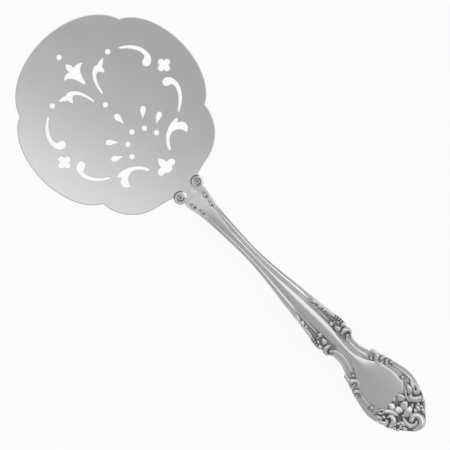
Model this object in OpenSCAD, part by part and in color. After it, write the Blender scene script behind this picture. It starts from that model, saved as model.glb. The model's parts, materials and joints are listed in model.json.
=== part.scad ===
// Pierced silver tomato server: a dished, lobed blade and a waisted handle that carries scrolled ornament.
// The blade's centre is over the origin, and it rests on z = 0.
// The handle runs toward +X, and +Z is the face.

/* [Overall] */
// Length from the blade's far edge to the handle's tip
overall_len = 196.7; // [187:0.1:206]

/* [Blade] */
// Distance from the blade's centre to its far edge
blade_reach = 36; // [34:0.1:38]
// Half of the blade's width
blade_half_w = 35.5; // [33.5:0.1:37.5]
// Half length of the far lobe, along the axis
far_lobe_len = 18; // [17:0.1:19]
// Half width of the far lobe
far_lobe_w = 25.9; // [25:0.1:26.8]
// Half length of each side lobe, along the axis
side_lobe_len = 22.6; // [22:0.05:23.2]
// Half width of each side lobe
side_lobe_w = 13.5; // [12.8:0.1:14.2]
// Radius of the plate inside the lobes
plate_r = 30; // [29:0.1:31]
// Radius of each shoulder lobe
shoulder_lobe_r = 16; // [15:0.1:17]
// Shoulder lobe centre along the axis
shoulder_x = 20.6; // [19.5:0.1:22]
// Shoulder lobe centre off the axis
shoulder_y = 9.8; // [9:0.1:10.6]
// Slope of the shoulder where it runs in to the neck, degrees
shoulder_slope = 14; // [10:0.5:18]
// Plate thickness
blade_t = 1.2; // [0.9:0.05:1.6]
// Radius of the dish, to the underside
dish_r = 350; // [250:5:500]
// How much of the dished underside is dressed flat to rest on
rest_cut = 0.15; // [0.1:0.01:0.3]

/* [Piercing] */
// Radius of the round drill holes
dot_r = 0.92; // [0.6:0.02:1.1]
// Reach of each quatrefoil
quatrefoil_reach = 2.6; // [2.2:0.1:3]
// Radius of each quatrefoil's lobes
quatrefoil_lobe_r = 1.1; // [0.9:0.05:1.2]
// Radius of the bulb that ends each comma
bulb_r = 1.45; // [1:0.05:1.7]
// Width of the thin end of each comma
comma_tip = 0.7; // [0.4:0.05:0.9]
// Radius of the round end of each teardrop
drop_r = 0.98; // [0.7:0.02:1.2]

/* [Lap joint] */
// Half width of the blade at the neck
root_w = 6.3; // [5.8:0.1:6.6]
// Length of the tang under the handle
tang_len = 8; // [6:0.1:9]
// Half width of the tang's end
tang_w = 3; // [2:0.1:3.4]
// Solder film between soldered faces
film = 0.02; // [0.01:0.01:0.05]
// Clearance at the tang's end
tang_gap = 0.06; // [0.04:0.01:0.15]
// How far the handle's tongue laps on to the blade
lap_len = 1.4; // [0.8:0.1:2]
// Where the handle takes its full width, behind the volutes
heel_len = 4.7; // [4.5:0.05:5.2]

/* [Handle lengths] */
// Neck to the throat, where the husks end
throat_len = 13; // [12:0.1:15]
// Neck to the narrowest place, as a share of the way to the leaf
narrow_at = 0.56; // [0.5:0.01:0.6]
// Leaf to the knuckle
leaf_len = 15; // [14.5:0.1:16]
// Knuckle to the waist
knuckle_len = 8.5; // [8.2:0.1:9.5]
// Waist to the widest place of the grip
grip_len = 22; // [21:0.1:24]
// Shoulder of the grip to its widest place
grip_shoulder_len = 9.4; // [9:0.1:10]
// Widest place to the end of the smooth field
field_len = 1.6; // [1.2:0.1:2]
// Widest place to the tip
crest_len = 17.3; // [17:0.1:18.5]

/* [Handle half widths] */
// Tongue between the volutes
tongue_w = 1.8; // [1.5:0.05:1.95]
// Behind the volutes
neck_w = 4.8; // [4.5:0.1:5.1]
// Throat
throat_w = 3.5; // [3.2:0.1:3.8]
// Narrowest place
shank_w = 2.55; // [2.3:0.05:2.8]
// Start of the leaf
leaf_w = 5; // [4.7:0.1:5.3]
// Knuckle
knuckle_w = 6.5; // [6.2:0.1:6.8]
// Waist
waist_w = 4.8; // [4.5:0.1:5]
// Shoulder of the grip
grip_shoulder_w = 9.3; // [9:0.1:9.6]
// Widest place
grip_w = 11; // [10.7:0.1:11.3]
// Crest, half way to the tip
crest_w = 9.2; // [9:0.1:9.5]
// Cap, just before the tip
cap_w = 5.8; // [5.5:0.1:6.1]
// Blunt end of the tip
tip_w = 1.7; // [1.4:0.1:2]

/* [Handle height] */
// Underside of the arch above the table
arch_h = 11.5; // [8:0.1:14]
// Where the handle rests on the table, measured from the tip
rest_len = 7.5; // [6:0.1:9]
// Rise of the underside at the very tip
tip_lift = 0.35; // [0.1:0.05:0.8]
// Ledge thickness behind the lap joint
neck_t = 2.7; // [2.4:0.05:3.2]
// Ledge thickness of the shank
shank_t = 2.2; // [1.8:0.05:2.8]
// Ledge thickness of the grip
grip_t = 1.7; // [1.4:0.05:2.2]
// Thickness of the tongue's front edge
tongue_t = 0.4; // [0.3:0.05:0.6]
// Rise of the smooth field over the ledge, along the shank
shank_crown = 0.9; // [0.6:0.05:1.2]
// Rise of the smooth field over the ledge, on the grip
grip_crown = 0.8; // [0.5:0.05:1.1]

/* [Smooth field half widths] */
// At the neck
neck_field = 1.75; // [1.5:0.05:1.9]
// At the narrowest place
shank_field = 0.9; // [0.7:0.05:1]
// At the start of the leaf
leaf_field = 2.1; // [1.8:0.05:2.3]
// At the knuckle
knuckle_field = 2.3; // [2:0.05:2.4]
// At the waist
waist_field = 1.5; // [1.3:0.05:1.6]
// On the grip
grip_field = 7.1; // [6.8:0.05:7.3]

/* [Ornament heights above the ledge] */
// Scrolls
scroll_h = 1.1; // [0.7:0.05:1.4]
// Threads
thread_h = 0.55; // [0.3:0.05:0.8]
// Leaves
leaf_h = 0.95; // [0.6:0.05:1.2]
// Blossoms
blossom_h = 1.1; // [0.7:0.05:1.4]

/* [Ornament sizes] */
// Radius of the shoulder volutes
volute_r = 1.9; // [1.6:0.05:2]
// Turn of the shoulder volutes, degrees
volute_turn = 550; // [500:5:560]
// Distance of each shoulder volute from the axis
volute_y = 4.1; // [4:0.05:4.5]
// Metal left around each shoulder volute
volute_rim = 0.45; // [0.4:0.05:0.6]
// Length of each chain of husks
husk_len = 6.8; // [6:0.1:7.2]
// Half width of the first husk
husk_w = 0.95; // [0.7:0.05:1.1]
// Half width of the leaf along its inner edge
acanthus_w = 0.95; // [0.7:0.05:1.1]
// Radius of the shell clusters
shell_r = 1.95; // [1.6:0.05:2]
// Radius of the knuckle scrolls
knuckle_r = 1.85; // [1.6:0.05:1.9]
// Turn of the knuckle scrolls, degrees
knuckle_turn = 330; // [300:5:340]
// Length of the tail that runs from each knuckle scroll to the waist
knuckle_tail = 2.3; // [2:0.1:2.5]
// Half width of the waist threads
waist_thread_w = 0.75; // [0.5:0.05:0.9]
// Waist to the first leaf of each spray
spray_len = 4.6; // [4.2:0.1:5]
// Where the border scrolls end, as a share of the crest
border_end = 0.32; // [0.3:0.01:0.34]
// Radius of the eye that starts each border scroll
border_eye_r = 1.2; // [1:0.05:1.25]
// Half width of the border scrolls
border_w = 0.9; // [0.7:0.05:0.95]
// Radius of the crest blossom
blossom_r = 2.2; // [1.8:0.05:2.3]
// Radius of the side blossoms
side_blossom_r = 1.7; // [1.4:0.05:1.8]
// Distance of each side blossom from the axis
side_blossom_y = 5; // [4.8:0.1:5.1]
// Radius of the crest scrolls
crest_scroll_r = 1.9; // [1.5:0.05:2]
// Turn of the crest scrolls, degrees
crest_scroll_turn = 320; // [290:5:330]
// Where the crest scrolls are, as a share of the crest
crest_scroll_at = 0.36; // [0.35:0.01:0.38]
// Half width of the leaf behind the blossom
crest_leaf_w = 1.25; // [0.8:0.05:1.3]
// Radius of the curl at the tip
curl_r = 3; // [2.6:0.05:3.1]
// Turn of the curl at the tip, degrees
curl_turn = 330; // [300:5:340]
// Clear space between neighbouring ornaments
ornament_gap = 0.7; // [0.4:0.05:0.8]

/* [Hidden] */

// Stations along the axis: the plain shank takes up what the other lengths leave
shoulder_in = shoulder_lobe_r - 0.06;
shoulder_end = [shoulder_x, shoulder_y] + shoulder_in * [cos(shoulder_slope), sin(shoulder_slope)];
x_root = shoulder_end[0] + (shoulder_end[1] - root_w) * tan(shoulder_slope);
volute_c = [x_root + 1.6, volute_y];
x_front = x_root - lap_len;
x_heel = x_root + heel_len;
x_tang = x_root + tang_len;
x_throat = x_root + throat_len;
x_tip = overall_len - blade_reach;
x_rest = x_tip - rest_len;
x_grip = x_tip - crest_len;
x_field = x_grip + field_len;
x_shoulder = x_grip - grip_shoulder_len;
x_waist = x_grip - grip_len;
x_knuckle = x_waist - knuckle_len;
x_leaf = x_knuckle - leaf_len;
x_shank = x_root + (x_leaf - x_root) * narrow_at;
x_eye = x_knuckle + knuckle_r + 1;
x_spray = x_waist + spray_len;
x_blossom = x_field + blossom_r + 0.4;
x_curl = x_tip - curl_r - 0.4;

// Values between stations follow a smooth curve that never overshoots them
function secant(s, i) = (s[i + 1][1] - s[i][1]) / (s[i + 1][0] - s[i][0]);
function mean_slope(a, b) = a * b <= 0 ? 0 : 2 * a * b / (a + b);
function slope(s, i) =
    i == 0 ? secant(s, 0) :
    i == len(s) - 1 ? secant(s, i - 1) : mean_slope(secant(s, i - 1), secant(s, i));
function segment(s, x) = max([0, for (j = [0 : len(s) - 2]) if (x >= s[j][0]) j]);
function blend(s, i, x) =
    let(d = s[i + 1][0] - s[i][0], t = min(1, max(0, (x - s[i][0]) / d)), u = 1 - t)
    s[i][1] * u * u * (1 + 2 * t) + s[i + 1][1] * t * t * (3 - 2 * t)
        + d * t * u * (slope(s, i) * u - slope(s, i + 1) * t);
function along(s, x) = blend(s, segment(s, x), x);

// Underside and top of the dished plate at a distance from its centre
dish_z = dish_r - rest_cut;
function dish_under(x) = dish_z - sqrt(dish_r * dish_r - x * x);
function dish_top(x) = dish_z - sqrt((dish_r - blade_t) * (dish_r - blade_t) - x * x);

half_stations = [[x_front, tongue_w * 0.4], [x_front + 0.7, tongue_w * 0.85], [x_heel - 0.6, tongue_w],
    [x_heel, neck_w], [x_throat, throat_w], [x_shank, shank_w], [x_leaf, leaf_w], [x_knuckle, knuckle_w],
    [x_waist, waist_w], [x_shoulder, grip_shoulder_w], [x_grip, grip_w],
    [x_grip + crest_len * 0.42, crest_w], [x_tip - crest_len * 0.27, cap_w], [x_tip, tip_w]];
field_stations = [[x_front, neck_field + 0.1], [x_throat, neck_field - 0.2], [x_shank, shank_field],
    [x_leaf, leaf_field], [x_leaf + leaf_len * 0.7, knuckle_field], [x_waist, waist_field],
    [x_waist + 6, waist_field + 1.2], [x_shoulder, grip_field - 0.8], [x_grip - 3, grip_field],
    [x_field - 1.4, grip_field * 0.72], [x_field, 0.3], [x_tip, 0.3]];
under_stations = [[x_front, dish_under(x_front)], [x_tang, dish_under(x_tang)], [x_shank - 4, arch_h * 0.6],
    [x_leaf, arch_h], [x_waist + 2, arch_h * 0.55], [x_rest, 0], [x_tip, tip_lift]];
thick_stations = [[x_front, blade_t + film + tongue_t], [x_tang, neck_t], [x_shank, shank_t],
    [x_waist, shank_t], [x_grip, grip_t], [x_tip, grip_t]];
crown_stations = [[x_front, 0.08], [x_tang, shank_crown * 0.6], [x_shank, shank_crown],
    [x_waist, shank_crown + 0.2], [x_grip - 3, grip_crown], [x_field - 0.4, grip_crown * 0.5],
    [x_field + 0.3, 0.04], [x_tip, 0.04]];

function half_w(x) = along(half_stations, x);
function field_w(x) = min(along(field_stations, x), half_w(x) * 0.75);
function under(x) = x < x_tang ? dish_under(x) : along(under_stations, x);
function ledge(x) = under(x) + along(thick_stations, x);
function base(x) = x < x_tang + tang_gap ? dish_top(x) + film : under(x);
function mid_ledge(x) = (half_w(x) + field_w(x)) / 2;
function seat(q, on_blade) = film + (on_blade ? dish_top(norm(q)) : ledge(q[0]));

// Curves
function bez(a, b, c, d, n = 8) = [for (i = [0 : n - 1]) let(t = i / n, u = 1 - t)
    a * u * u * u + b * 3 * u * u * t + c * 3 * u * t * t + d * t * t * t];
function flip(p) = [for (i = [len(p) - 1 : -1 : 0]) [p[i][0], -p[i][1]]];
function spiral(c, r0, r1, a0, a1, n, late = 1) = [for (i = [0 : n])
    let(t = i / n, r = r0 + (r1 - r0) * pow(t, late), a = a0 + (a1 - a0) * t) c + r * [cos(a), sin(a)]];
function tangent(p, i) = let(d = p[min(i + 1, len(p) - 1)] - p[max(i - 1, 0)]) d / norm(d);
function steps(a, b, n) = [for (i = [0 : n]) a + (b - a) * i / n];
function taper(i, n, low, rate) = min(1, low + i * rate, low + (n - i) * rate);

// Solid from rings of points, closed by a point at each end
module loft(rings) {
    n = len(rings);
    m = len(rings[0]);
    ends = [for (r = [rings[0], rings[n - 1]]) [for (k = [0 : 2]) mean([for (p = r) p[k]])]];
    sides = [for (i = [0 : n - 2]) for (j = [0 : m - 1])
        let(a = i * m + j, b = i * m + (j + 1) % m) each [[a, b, b + m], [a, b + m, a + m]]];
    start = [for (j = [0 : m - 1]) [n * m, (j + 1) % m, j]];
    end = [for (j = [0 : m - 1]) [n * m + 1, (n - 1) * m + j, (n - 1) * m + (j + 1) % m]];
    points = concat([for (r = rings) each r], ends);
    polyhedron(points = points, faces = concat(start, sides, end), convexity = 6);
}
function mean(v) = v * [for (k = v) 1] / len(v);

// Half-round strip laid on the ledge or the blade along a path, with its own width on either side
section = [[-1, 0], [-0.92, 0.5], [-0.5, 0.9], [0, 1], [0.5, 0.9], [0.92, 0.5], [1, 0]];
module strip(path, right_w, left_w, rise, on_blade = false) {
    loft([for (i = [0 : len(path) - 1]) let(d = tangent(path, i), s = [-d[1], d[0]])
        [for (p = section) let(q = path[i] + s * p[0] * (p[0] < 0 ? right_w[i] : left_w[i]))
            [q[0], q[1], seat(q, on_blade) + p[1] * rise[i]]]]);
}

// Lobed rosette laid on the ledge: a rim, a cupped floor and a boss
tiers = [[1, 0], [0.97, 0.6], [0.82, 0.85], [0.45, 0.5], [0.32, 0.9], [0.18, 1.1]];
function lobed(a, lobes, depth) = 1 - depth * pow(sin(a * lobes / 2), 2);
module rosette(c, r, lobes, depth, rise, turn = 0, n = 30) {
    loft([for (t = tiers) [for (i = [0 : n - 1])
        let(a = -360 * i / n, k = t[0] > 0.4 ? lobed(a - turn, lobes, depth) : 1,
            q = c + r * t[0] * k * [cos(a), sin(a)]) [q[0], q[1], seat(q, false) + t[1] * rise]]]);
}

// Piercings, drawn for the +Y half
module comma(tip, crest, bulb) {
    k = sign(crest[0] - tip[0]);
    far = [bulb[0] + k * bulb_r, bulb[1]];
    near = [bulb[0] - k * bulb_r, bulb[1]];
    throat = [near[0] - k * 1.5, crest[1] - 1.5];
    thin = [tip[0] + k * comma_tip, tip[1] - 0.1];
    polygon(concat(
        bez(tip, tip + [k * 1.2, 3.2], crest - [k * 4.2, 0], crest, 10),
        bez(crest, crest + [k * 2, 0], far + [0, 1.6], far, 6),
        bez(far, far - [0, bulb_r * 1.33], near - [0, bulb_r * 1.33], near, 10),
        bez(near, near + [0, 0.7], throat + [k * 0.7, 0], throat, 4),
        bez(throat, throat - [k * 2.6, 0.1], tip + [k * 1.9, 2.6], thin, 10)));
}
module drop(c, tip) {
    d = (tip - c) / norm(tip - c);
    s = [-d[1], d[0]];
    polygon(concat(
        bez(tip, tip - d + s * 0.2, c + s * drop_r * 1.1 + d * 0.9, c + s * drop_r, 6),
        [for (a = [90 : 18 : 270]) c + drop_r * (cos(a) * d + sin(a) * s)],
        bez(c - s * drop_r, c - s * drop_r * 1.1 + d * 0.9, tip - d - s * 0.2, tip, 6)));
}
module quatrefoil(c) {
    for (a = [0 : 90 : 270])
        translate(c) rotate(a) translate([quatrefoil_reach - quatrefoil_lobe_r, 0])
            circle(quatrefoil_lobe_r, $fn = 32);
    translate(c) square(quatrefoil_reach * 0.77, center = true);
}
module sprig() {
    polygon(concat(
        bez([-16, 11.3], [-15.4, 10.6], [-14.6, 9.6], [-13.9, 8.5], 5),
        bez([-13.9, 8.5], [-13.3, 8.8], [-12.6, 8.5], [-12, 7.8], 4),
        bez([-12, 7.8], [-13, 7.3], [-13.8, 6.8], [-13.9, 6.1], 5),
        bez([-13.9, 6.1], [-13.5, 4.3], [-10.6, 3.1], [-7.1, 2.4], 9),
        bez([-7.1, 2.4], [-7, 2.2], [-7.1, 2], [-7.3, 1.9], 3),
        bez([-7.3, 1.9], [-12, 2.2], [-15.6, 4.2], [-16.1, 7.1], 10),
        bez([-16.1, 7.1], [-15.5, 7.7], [-15.6, 8.2], [-16, 8.8], 3),
        bez([-16, 8.8], [-16.4, 9.7], [-16.2, 10.6], [-16, 11.3], 4)));
}
module hooked_leaf() {
    polygon(concat(
        bez([18.2, 15.3], [18.9, 15], [19.3, 14.6], [19.6, 13.9], 4),
        bez([19.6, 13.9], [20.2, 16.6], [23.2, 17], [24.3, 14.1], 9),
        bez([24.3, 14.1], [20.9, 14.1], [17.8, 9.1], [24.8, 5.7], 12),
        bez([24.8, 5.7], [24.8, 5.3], [24.6, 5.1], [24.2, 5], 3),
        bez([24.2, 5], [20.5, 6.2], [16.9, 11.2], [18.2, 15.3], 12)));
}
module side_piercings() {
    for (c = [[-16.5, 14], [12.6, 4.2], [16.8, 6.2]]) translate(c) circle(dot_r, $fn = 32);
    comma([-15, 17.6], [-6.2, 24.2], [-4, 21.4]);
    comma([17.2, 16.9], [8.4, 24.3], [6.2, 21.6]);
    quatrefoil([1.2, 25.2]);
    drop([7.2, 8.7], [9.7, 6.1]);
    drop([12.8, 11.5], [14.5, 8.3]);
    sprig();
    hooked_leaf();
}
module mirrored_outline(half) {
    polygon(concat(half, flip(half)));
}
module axis_piercings() {
    for (x = [-27.3, -3.4, 10.4]) translate([x, 0]) circle(dot_r, $fn = 32);
    // Bud
    mirrored_outline(concat(
        bez([1.5, 0.02], [1.7, 0.9], [2.9, 1.5], [4.2, 0.7], 7),
        bez([4.2, 0.7], [5, 0.35], [5.9, 0.15], [6.7, 0.02], 4)));
    // Fleur
    mirrored_outline(concat(
        bez([-23.9, 0.02], [-23, 0.5], [-22.4, 1.4], [-20.9, 1], 6),
        bez([-20.9, 1], [-21.3, 2.2], [-21, 3.6], [-20, 4.7], 7),
        bez([-20, 4.7], [-19.9, 2.2], [-17.4, 0.8], [-12.4, 0.1], 9)));
    // Trefoil
    mirrored_outline(concat(
        bez([23.8, 0.02], [24.8, 0.5], [25.6, 1.6], [27, 1.3], 6),
        bez([27, 1.3], [26.6, 2.6], [27.2, 3.9], [28.4, 3.9], 6),
        bez([28.4, 3.9], [29.9, 3.7], [29.4, 2.2], [29.3, 1.7], 6),
        bez([29.3, 1.7], [30, 1.4], [30.4, 0.8], [30.4, 0.2], 4)));
}

// Blade: overlapping lobes, a tang, and a rim for each volute
module lobe(c, a, b) {
    polygon([for (t = [0 : 2.5 : 357.5]) c + [a * cos(t), b * sin(t)]]);
}
module plate() {
    circle(plate_r, $fn = 180);
    lobe([far_lobe_len - blade_reach, 0], far_lobe_len, far_lobe_w);
    for (s = [-1, 1]) {
        lobe([0, s * (blade_half_w - side_lobe_w)], side_lobe_len, side_lobe_w);
        translate([shoulder_x, s * shoulder_y]) circle(shoulder_lobe_r, $fn = 120);
        translate([volute_c[0], s * volute_y]) circle(volute_r + volute_rim, $fn = 60);
    }
    edge = [[x_tang, tang_w], [x_root, root_w], shoulder_end];
    polygon(concat([[0, -shoulder_end[1]]], flip(edge), edge, [[0, shoulder_end[1]]]));
}
module blade() {
    color([0.78, 0.78, 0.77]) intersection() {
        linear_extrude(dish_under(x_tang) + blade_t * 4) difference() {
            plate();
            axis_piercings();
            side_piercings();
            mirror([0, 1]) side_piercings();
        }
        translate([0, 0, dish_z]) rotate([90, 0, 0]) difference() {
            sphere(dish_r, $fn = 200);
            sphere(dish_r - blade_t, $fn = 200);
        }
    }
}

// Handle: rings with a flat underside, an upright edge, a ledge and a crowned field
function handle_half(w, f, b, e, c) = let(h = e - b)
    [[w - 0.25 * min(h, w), b], [w, b + 0.45 * h], [w, e - 0.12 * h], [w - 0.08 * min(h, w), e],
        [f + 0.06 * min(1.5, w), e], [f - 0.03, e + 0.45 * c], [f * 0.62, e + 0.85 * c]];
function handle_ring(x) =
    let(c = along(crown_stations, x), half = handle_half(half_w(x), field_w(x), base(x), ledge(x), c))
    concat([for (p = half) [x, -p[0], p[1]]], [[x, 0, ledge(x) + c]],
        [for (i = [len(half) - 1 : -1 : 0]) [x, half[i][0], half[i][1]]]);
module handle() {
    x_bend = x_knuckle - 4;
    xs = concat([x_front, x_front + 0.15, x_front + 0.35], steps(x_front + 0.7, x_heel - 0.6, 2),
        [for (i = [1 : 4]) x_heel - 0.6 + 0.15 * i],
        [(x_heel + x_tang) / 2, x_tang, x_tang + tang_gap, x_tang + tang_gap * 2],
        [for (i = [1 : 26]) x_tang + (x_bend - x_tang) * i / 26],
        [for (i = [1 : 38]) x_bend + (x_tip - x_bend) * i / 38]);
    color([0.8, 0.8, 0.79]) loft([for (x = xs) handle_ring(x)]);
}

// Ornaments on the +Y half
module shoulder_volute() {
    path = spiral(volute_c, volute_r, 0.5, 50, 50 + volute_turn, 28);
    n = len(path) - 1;
    w = [for (i = [0 : n]) i == 0 ? 0.12 : 0.36 - 0.12 * i / n];
    rise = [for (i = [0 : n]) scroll_h * (i == 0 ? 0.2 : 0.85)];
    color([0.72, 0.72, 0.7]) strip(path, w, w, rise, true);
}
module neck_husks() {
    n = 24;
    husks = 3;
    path = [for (x = steps(x_throat - husk_len, x_throat, n)) [x, mid_ledge(x) - 0.05]];
    t = [for (i = [0 : n]) husks * i / n - floor(husks * i / n - 0.001)];
    swell = [for (i = [0 : n]) 0.16 + 0.84 * pow(sin(180 * min(1, t[i] * 0.92 + 0.04)), 1.2)];
    w = [for (i = [0 : n]) husk_w * (1 - 0.42 * i / n) * swell[i]];
    rise = [for (i = [0 : n]) leaf_h * (0.35 + 0.65 * swell[i])];
    color([0.72, 0.72, 0.7]) strip(path, w, w, rise);
}
module shank_thread() {
    n = 20;
    path = [for (x = steps(x_throat + ornament_gap, x_leaf - ornament_gap, n)) [x, mid_ledge(x)]];
    w = [for (i = [0 : n]) (half_w(path[i][0]) - field_w(path[i][0])) * 0.27 * taper(i, n, 0.3, 0.35)];
    rise = [for (i = [0 : n]) thread_h * taper(i, n, 0.4, 0.3)];
    color([0.76, 0.76, 0.75]) strip(path, w, w, rise);
}
module acanthus() {
    n = 40;
    lobes = 5;
    path = [for (x = steps(x_leaf, x_knuckle - shell_r * 2 - ornament_gap / 2, n)) [x, mid_ledge(x) + 0.15]];
    lobe = [for (i = [0 : n]) pow(abs(sin(180 * (lobes * i / n + 0.02))), 0.7)];
    grow = [for (i = [0 : n]) min(1, 0.25 + 2.2 * i / n)];
    inner = [for (i = [0 : n]) acanthus_w * grow[i]];
    outer = [for (i = [0 : n]) acanthus_w * (0.8 + 0.57 * lobe[i]) * grow[i]];
    rise = [for (i = [0 : n]) leaf_h * (0.6 + 0.4 * lobe[i]) * min(1, 0.4 + i * 0.2)];
    color([0.7, 0.7, 0.68]) strip(path, inner, outer, rise);
}
module shell() {
    c = [x_knuckle - shell_r + 0.1, knuckle_w - shell_r + 0.5];
    color([0.72, 0.72, 0.7]) rosette(c, shell_r, 7, 0.2, leaf_h);
}
module knuckle_scroll() {
    c = [x_eye, knuckle_w - knuckle_r + 0.05];
    lead = mid_ledge(x_waist);
    x_lead = x_eye + knuckle_r;
    tail = [[x_lead + knuckle_tail, lead + 0.5], [x_lead + knuckle_tail / 2, lead + 0.75]];
    path = concat(tail, spiral(c, knuckle_r - 0.1, 0.65, 20, 20 + knuckle_turn, 22, 1.6));
    n = len(path) - 1;
    w = [for (i = [0 : n]) min(0.12 + 0.2 * i, 0.52, 0.24 + 0.16 * (n - i))];
    rise = [for (i = [0 : n]) scroll_h * (i == 0 ? 0.3 : 1)];
    color([0.72, 0.72, 0.7]) strip(path, w, w, rise);
}
module waist_thread() {
    n = 10;
    x_start = x_eye + knuckle_r + knuckle_tail + ornament_gap;
    path = [for (x = steps(x_start, x_spray, n)) [x, mid_ledge(x)]];
    w = [for (i = [0 : n]) waist_thread_w * taper(i, n, 0.2, 0.4)];
    rise = [for (i = [0 : n]) thread_h * taper(i, n, 0.4, 0.3)];
    color([0.76, 0.76, 0.75]) strip(path, w, w, rise);
}
module shoulder_leaf() {
    n = 36;
    path = [for (x = steps(x_spray + ornament_gap / 2, x_shoulder - 1.6, n)) [x, mid_ledge(x) + 0.25]];
    lobe = [for (i = [0 : n]) pow(abs(sin(180 * (2 * i / n + 0.02))), 0.8)];
    inner = [for (i = [0 : n]) 0.7 * taper(i, n, 0.2, 0.15)];
    outer = [for (i = [0 : n]) (0.5 + (i < n / 2 ? 2.1 : 1.2) * lobe[i]) * taper(i, n, 0.2, 0.15)];
    rise = [for (i = [0 : n]) leaf_h * (0.55 + 0.45 * lobe[i])];
    color([0.7, 0.7, 0.68]) strip(path, inner, outer, rise);
}
module border_scroll() {
    x_start = x_shoulder + 1;
    x_end = x_grip + crest_len * border_end;
    c = [x_start, half_w(x_start) - border_eye_r - 0.65];
    eye = spiral(c, border_eye_r / 3, border_eye_r, 400, 90, 14);
    edge = [for (x = steps(x_start + 1.6, x_end, 17)) [x, half_w(x) - border_w - 0.2]];
    path = concat(eye, edge);
    n = len(path) - 1;
    m = len(eye);
    rim = [for (i = [0 : n]) min(border_w, 0.45 + 0.1 * (i - m), 0.15 + 0.3 * (n - i))];
    w = [for (i = [0 : n]) i < m ? 0.18 + 0.018 * i : rim[i]];
    rise = [for (i = [0 : n]) min(scroll_h, 0.3 + 0.35 * (n - i))];
    color([0.74, 0.74, 0.72]) strip(path, w, w, rise);
}
module field_thread() {
    n = 16;
    bead = 5;
    path = [for (x = steps(x_grip - 6, x_grip - 0.4, n)) [x, field_w(x) + 0.85]];
    ball = [for (i = [0 : n]) i > n - bead ? sin(180 * (i - n + bead) / (bead + 0.3)) : 0];
    w = [for (i = [0 : n]) max(min(0.32, 0.1 + 0.06 * i) * (i > n - bead ? 0.6 : 1), 0.6 * ball[i])];
    rise = [for (i = [0 : n]) max(thread_h, scroll_h * ball[i])];
    color([0.74, 0.74, 0.72]) strip(path, w, w, rise);
}
module crest_scroll() {
    c = [x_grip + crest_len * crest_scroll_at, crest_w - crest_scroll_r - 1.9];
    tail = c - [0, crest_scroll_r];
    turns = spiral(c, crest_scroll_r - 0.1, 0.7, 265, 265 + crest_scroll_turn, 24, 2);
    path = concat([tail + [-2.2, 0.5], tail + [-1.1, 0.1]], turns);
    n = len(path) - 1;
    w = [for (i = [0 : n]) min(0.15 + 0.16 * i, 0.62 - 0.1 * i / n, 0.26 + 0.16 * (n - i))];
    rise = [for (i = [0 : n]) scroll_h * (i == 0 ? 0.3 : 1)];
    color([0.74, 0.74, 0.72]) strip(path, w, w, rise);
}
module side_blossom() {
    c = [x_curl - curl_r - 0.25, side_blossom_y];
    color([0.76, 0.76, 0.74]) rosette(c, side_blossom_r, 5, 0.25, blossom_h * 0.8, 20);
}
module crest_blossom() {
    color([0.78, 0.78, 0.76]) rosette([x_blossom, 0], blossom_r, 5, 0.28, blossom_h);
}
module crest_leaf() {
    n = 12;
    x_start = x_blossom + blossom_r + ornament_gap / 2;
    x_end = x_curl - curl_r - ornament_gap / 2;
    path = [for (x = steps(x_start, x_end, n)) [x, 0]];
    swell = [for (i = [0 : n]) sin(180 * i / n)];
    w = [for (i = [0 : n]) 0.15 + (crest_leaf_w - 0.15) * swell[i]];
    rise = [for (i = [0 : n]) leaf_h * (0.4 + 0.6 * swell[i])];
    color([0.74, 0.74, 0.72]) strip(path, w, w, rise);
}
module crest_curl() {
    path = spiral([x_curl, 0], curl_r - 0.5, 1.2, 225, 225 + curl_turn, 34, 2);
    n = len(path) - 1;
    bulb = 6;
    band = [for (i = [0 : n]) min(0.15 + 0.1 * i, 0.72 - 0.15 * i / n)];
    ball = [for (i = [0 : n]) i < n - bulb ? 0 : 0.82 * cos(120 * (i - n + bulb / 2) / bulb)];
    w = [for (i = [0 : n]) i > n - bulb / 2 ? ball[i] : max(band[i], ball[i])];
    rise = [for (i = [0 : n]) scroll_h * (i == 0 ? 0.4 : 1)];
    color([0.74, 0.74, 0.72]) strip(path, w, w, rise);
}
module left() {
    mirror([0, 1, 0]) children();
}

blade();
handle();
left() shoulder_volute();  // shoulder_volute_left
shoulder_volute();  // shoulder_volute_right
left() neck_husks();  // neck_husks_left
neck_husks();  // neck_husks_right
left() shank_thread();  // shank_thread_left
shank_thread();  // shank_thread_right
left() acanthus();  // acanthus_left
acanthus();  // acanthus_right
left() shell();  // shell_left
shell();  // shell_right
left() knuckle_scroll();  // knuckle_scroll_left
knuckle_scroll();  // knuckle_scroll_right
left() waist_thread();  // waist_thread_left
waist_thread();  // waist_thread_right
left() shoulder_leaf();  // shoulder_leaf_left
shoulder_leaf();  // shoulder_leaf_right
left() border_scroll();  // border_scroll_left
border_scroll();  // border_scroll_right
left() field_thread();  // field_thread_left
field_thread();  // field_thread_right
left() crest_scroll();  // crest_scroll_left
crest_scroll();  // crest_scroll_right
left() side_blossom();  // side_blossom_left
side_blossom();  // side_blossom_right
crest_blossom();
crest_leaf();
crest_curl();
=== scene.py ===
import json
import math

import bmesh
import bpy
import numpy as np
from mathutils import Matrix, Vector
from mathutils.bvhtree import BVHTree
from mathutils.geometry import delaunay_2d_cdt

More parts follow.
